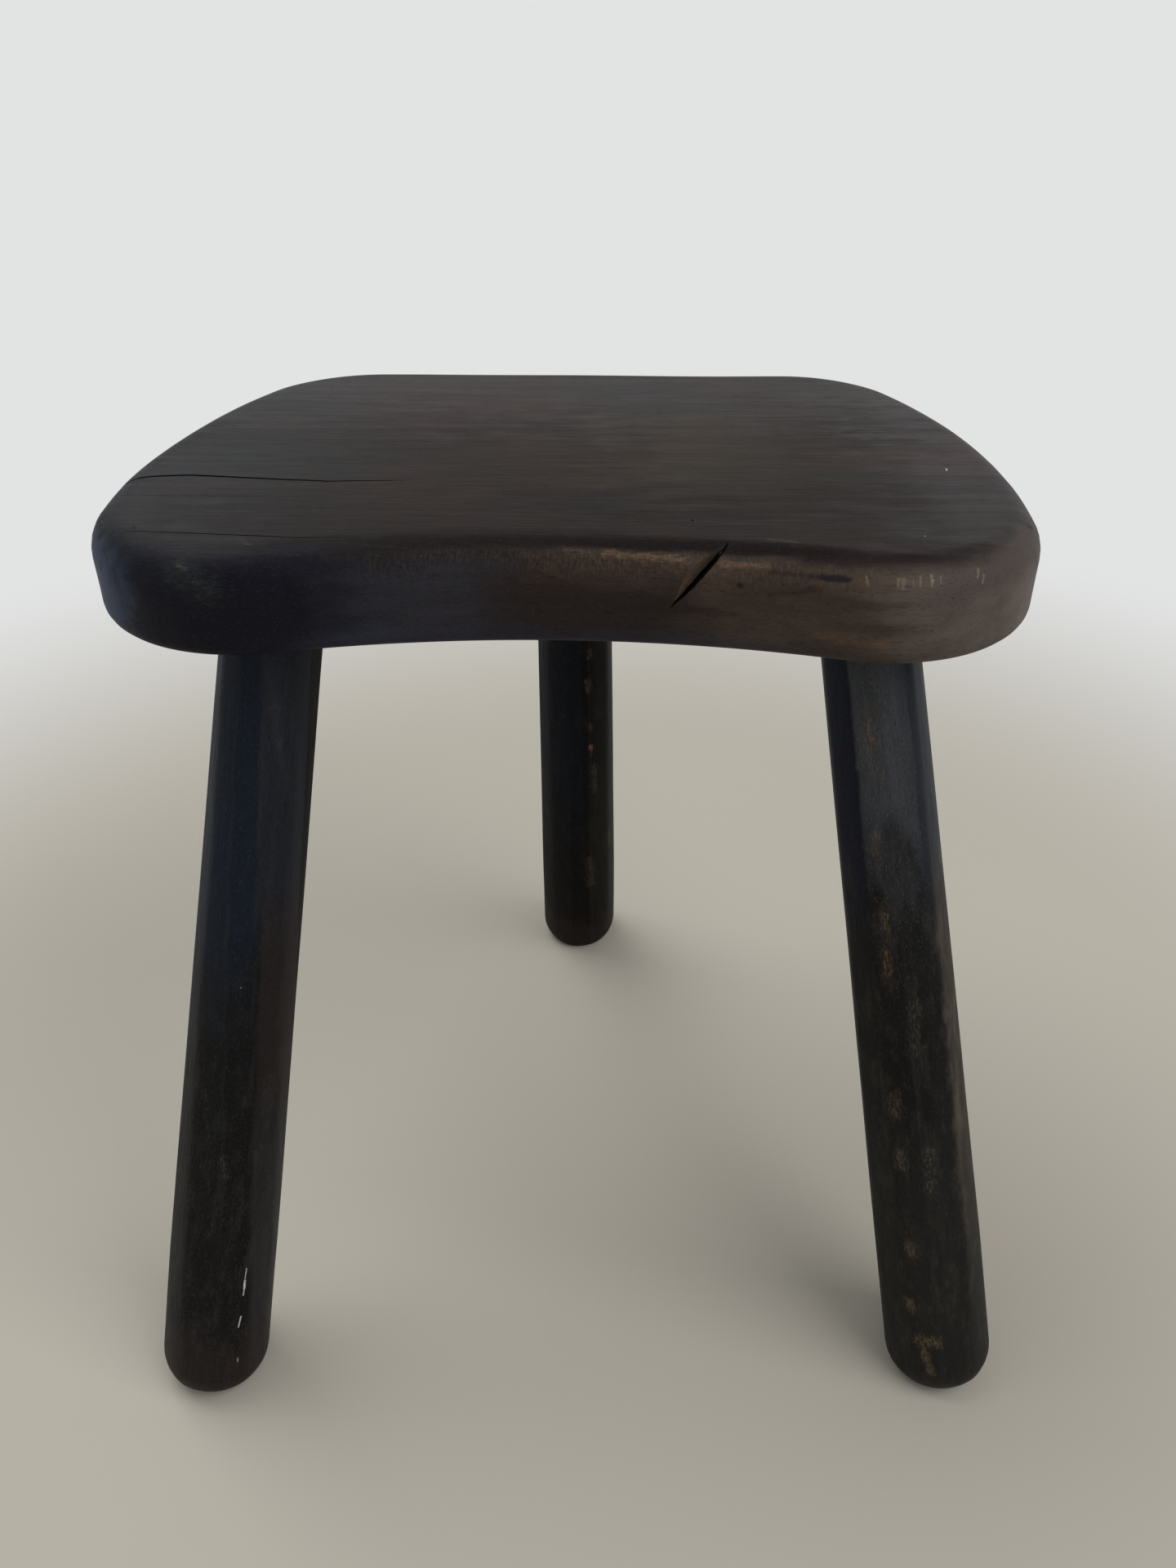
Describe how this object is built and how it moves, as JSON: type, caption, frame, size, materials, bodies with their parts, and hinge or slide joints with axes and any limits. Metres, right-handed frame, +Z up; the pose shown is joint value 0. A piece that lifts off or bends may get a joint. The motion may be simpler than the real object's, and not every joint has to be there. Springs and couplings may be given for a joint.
{
  "type": "tripod stool",
  "caption": "Low three-legged wooden stool with a thick scooped-front plank seat on splayed, tapered round legs.",
  "frame": {"origin": "on the floor, under the middle of the stool's outer box", "axes": "+Z up, normal to the seat's top; -Y towards the scooped front edge and its two front legs; +X to the right of someone who looks at that front edge"},
  "size_m": [0.3932, 0.3648, 0.4],
  "materials": {
    "seat_wood": "dark stained plank, worn satin",
    "leg_wood": "dark stained, hand shaved, worn satin",
    "wedge_wood": "bare, hidden inside the joint"
  },
  "bodies": {
    "root": {"seat": "seat_wood", "leg_front_left": "leg_wood", "leg_front_right": "leg_wood", "leg_rear": "leg_wood", "wedge_front_left": "wedge_wood", "wedge_front_right": "wedge_wood", "wedge_rear": "wedge_wood"}
  },
  "joints": []
}
